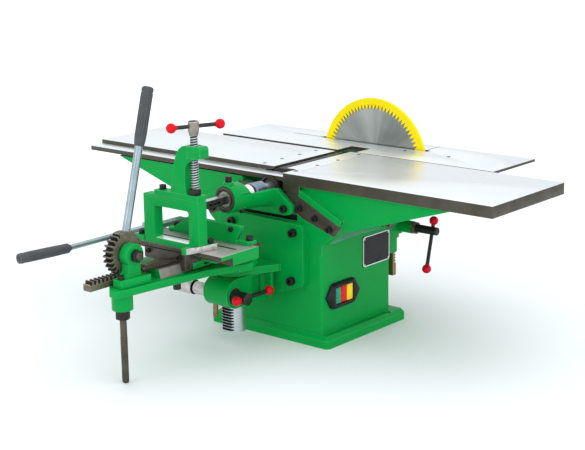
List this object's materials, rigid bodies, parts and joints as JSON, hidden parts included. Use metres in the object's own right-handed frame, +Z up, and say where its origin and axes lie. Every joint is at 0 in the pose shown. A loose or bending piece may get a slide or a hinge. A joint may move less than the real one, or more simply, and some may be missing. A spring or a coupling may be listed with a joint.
{
  "type": "combination saw planer",
  "caption": "Green cast-iron combination saw planer with planer tables, circular saw table and a lever-fed horizontal mortiser with screw clamp on one spindle.",
  "frame": {"origin": "centre of the four foot bolt holes on the floor plane, below the spindle axis", "axes": "+X along the planer tables towards the infeed end, +Y along the spindle towards the saw blade, +Z up"},
  "size_m": [1.108, 0.9544, 0.5729],
  "materials": {
    "green_enamel": "gloss",
    "ground_steel": "ground",
    "cast_table": "ground top, enamelled below",
    "bright_steel": "turned",
    "dark_steel": "machined",
    "black_oxide": "black oxide",
    "grip_rubber": "matte",
    "belt_rubber": "matte",
    "strip_yellow": "satin",
    "switch_black": "satin",
    "button_green": "gloss",
    "button_red": "gloss",
    "button_yellow": "gloss",
    "plate_dark": "satin",
    "motor_grey": "satin"
  },
  "bodies": {
    "base": {"base_casting": "green_enamel", "outfeed_table": "cast_table", "outfeed_lip_plate": "ground_steel", "bearing_housings": "dark_steel", "spindle_bearings": "bright_steel", "keeper_plates": "ground_steel", "machine_bolts": "black_oxide", "chisel_holder": "green_enamel", "chisel_bush": "dark_steel", "mortise_chisel": "bright_steel", "knee_bracket": "green_enamel", "nameplate": "plate_dark", "switch_bezel": "switch_black", "motor_body": "motor_grey", "drive_belts": "belt_rubber", "belt_guard": "green_enamel", "saw_guides": "green_enamel", "cable_gland": "switch_black"},
    "spindle": {"spindle_shaft": "bright_steel", "cutter_block": "bright_steel", "planer_knives": "bright_steel", "spindle_pulley": "dark_steel", "saw_blade": "bright_steel", "blade_clamp": "dark_steel", "tooth_guard": "strip_yellow", "drill_chuck": "bright_steel", "auger_bit": "bright_steel"},
    "motor_rotor": {"motor_shaft": "bright_steel", "motor_pulley": "dark_steel"},
    "infeed": {"infeed_table": "cast_table", "infeed_lip_plate": "ground_steel"},
    "infeed_adjuster": {"infeed_screw": "dark_steel"},
    "saw_deck": {"saw_table": "ground_steel", "saw_table_posts": "bright_steel"},
    "saw_lift_handle": {"saw_lift_pinion": "black_oxide", "saw_lift_bar": "bright_steel"},
    "lift": {"lift_column": "bright_steel", "slide_bar": "green_enamel", "gear_bracket": "green_enamel", "bracket_fasteners": "black_oxide"},
    "lift_handle": {"lift_pinion": "black_oxide", "lift_bar": "bright_steel"},
    "leg": {"support_leg": "dark_steel"},
    "feed_slide": {"saddle": "dark_steel", "feed_rack": "dark_steel", "depth_stop": "black_oxide"},
    "feed_handle": {"feed_gear": "dark_steel", "feed_lever": "bright_steel"},
    "cross_slide": {"cross_table": "cast_table", "clamp_arch": "green_enamel", "clamp_frame": "green_enamel", "work_fence": "green_enamel", "table_bolts": "black_oxide"},
    "cross_handle": {"cross_lever": "bright_steel"},
    "clamp_foot": {"clamp_pad": "dark_steel"},
    "clamp_spindle": {"clamp_screw": "dark_steel", "clamp_bar": "bright_steel"},
    "start_push": {"start_button": "button_green"},
    "stop_push": {"stop_button": "button_red"},
    "third_push": {"third_button": "button_yellow"}
  },
  "joints": [
    {"name": "spindle_spin", "type": "hinge", "parent": "base", "child": "spindle", "pos_m": [0, 0, 0.322], "axis": [0, 1, 0], "continuous": true},
    {"name": "motor_spin", "type": "hinge", "parent": "base", "child": "motor_rotor", "pos_m": [0, 0.1, 0.112], "axis": [0, 1, 0], "continuous": true},
    {"name": "infeed_depth", "type": "slide", "parent": "base", "child": "infeed", "axis": [0.9063, 0, -0.4226], "range_m": [0, 0.012]},
    {"name": "infeed_screw_turn", "type": "hinge", "parent": "infeed", "child": "infeed_adjuster", "pos_m": [0.206, 0, 0.262], "axis": [0.9063, 0, -0.4226], "range_deg": [0, 2161]},
    {"name": "saw_table_lift", "type": "slide", "parent": "base", "child": "saw_deck", "axis": [0, 0, 1], "range_m": [0, 0.022]},
    {"name": "saw_lift_turn", "type": "hinge", "parent": "base", "child": "saw_lift_handle", "pos_m": [0.12, 0.162, 0.204], "axis": [1, 0, 0], "range_deg": [-105.2, 0]},
    {"name": "mortiser_lift", "type": "slide", "parent": "base", "child": "lift", "axis": [0, 0, 1], "range_m": [-0.012, 0.004]},
    {"name": "lift_turn", "type": "hinge", "parent": "base", "child": "lift_handle", "pos_m": [-0.02, -0.252, 0.116], "axis": [1, 0, 0], "range_deg": [-45.9, 15.4]},
    {"name": "leg_reach", "type": "slide", "parent": "lift", "child": "leg", "axis": [0, 0, 1], "range_m": [-0.004, 0.012]},
    {"name": "plunge", "type": "slide", "parent": "lift", "child": "feed_slide", "axis": [0, 1, 0], "range_m": [-0.002, 0.027]},
    {"name": "plunge_lever", "type": "hinge", "parent": "lift", "child": "feed_handle", "pos_m": [-0.045, -0.508, 0.255], "axis": [1, 0, 0], "range_deg": [-2.9, 39.1]},
    {"name": "cross_travel", "type": "slide", "parent": "feed_slide", "child": "cross_slide", "axis": [1, 0, 0], "range_m": [-0.016, 0.02]},
    {"name": "cross_lever_turn", "type": "hinge", "parent": "cross_slide", "child": "cross_handle", "pos_m": [-0.146, -0.341, 0.255], "axis": [0, 0, 1], "range_deg": [-10.2, 12.8]},
    {"name": "clamp_travel", "type": "slide", "parent": "cross_slide", "child": "clamp_foot", "axis": [0, 0, 1], "range_m": [0, 0.035]},
    {"name": "clamp_turn", "type": "hinge", "parent": "clamp_foot", "child": "clamp_spindle", "pos_m": [0.043, -0.392, 0.43], "axis": [0, 0, 1], "range_deg": [0, 3151]},
    {"name": "start_press", "type": "slide", "parent": "base", "child": "start_push", "axis": [-1, 0, 0], "range_m": [0, 0.003], "stiffness_N_per_m": 400, "springref_m": -0.002},
    {"name": "stop_press", "type": "slide", "parent": "base", "child": "stop_push", "axis": [-1, 0, 0], "range_m": [0, 0.003], "stiffness_N_per_m": 400, "springref_m": -0.002},
    {"name": "third_press", "type": "slide", "parent": "base", "child": "third_push", "axis": [-1, 0, 0], "range_m": [0, 0.003], "stiffness_N_per_m": 400, "springref_m": -0.002}
  ],
  "couplings": [
    {"joint": "motor_spin", "follows": "spindle_spin", "ratio": 0.65476},
    {"joint": "infeed_screw_turn", "follows": "infeed_depth", "rad_per_m": 3141.6},
    {"joint": "saw_lift_turn", "follows": "saw_table_lift", "rad_per_m": -83.333},
    {"joint": "lift_turn", "follows": "mortiser_lift", "rad_per_m": 66.667},
    {"joint": "leg_reach", "follows": "mortiser_lift", "ratio": -1},
    {"joint": "plunge_lever", "follows": "plunge", "rad_per_m": 25.253},
    {"joint": "cross_lever_turn", "follows": "cross_travel", "rad_per_m": 11.111},
    {"joint": "clamp_turn", "follows": "clamp_travel", "rad_per_m": 1570.8}
  ]
}
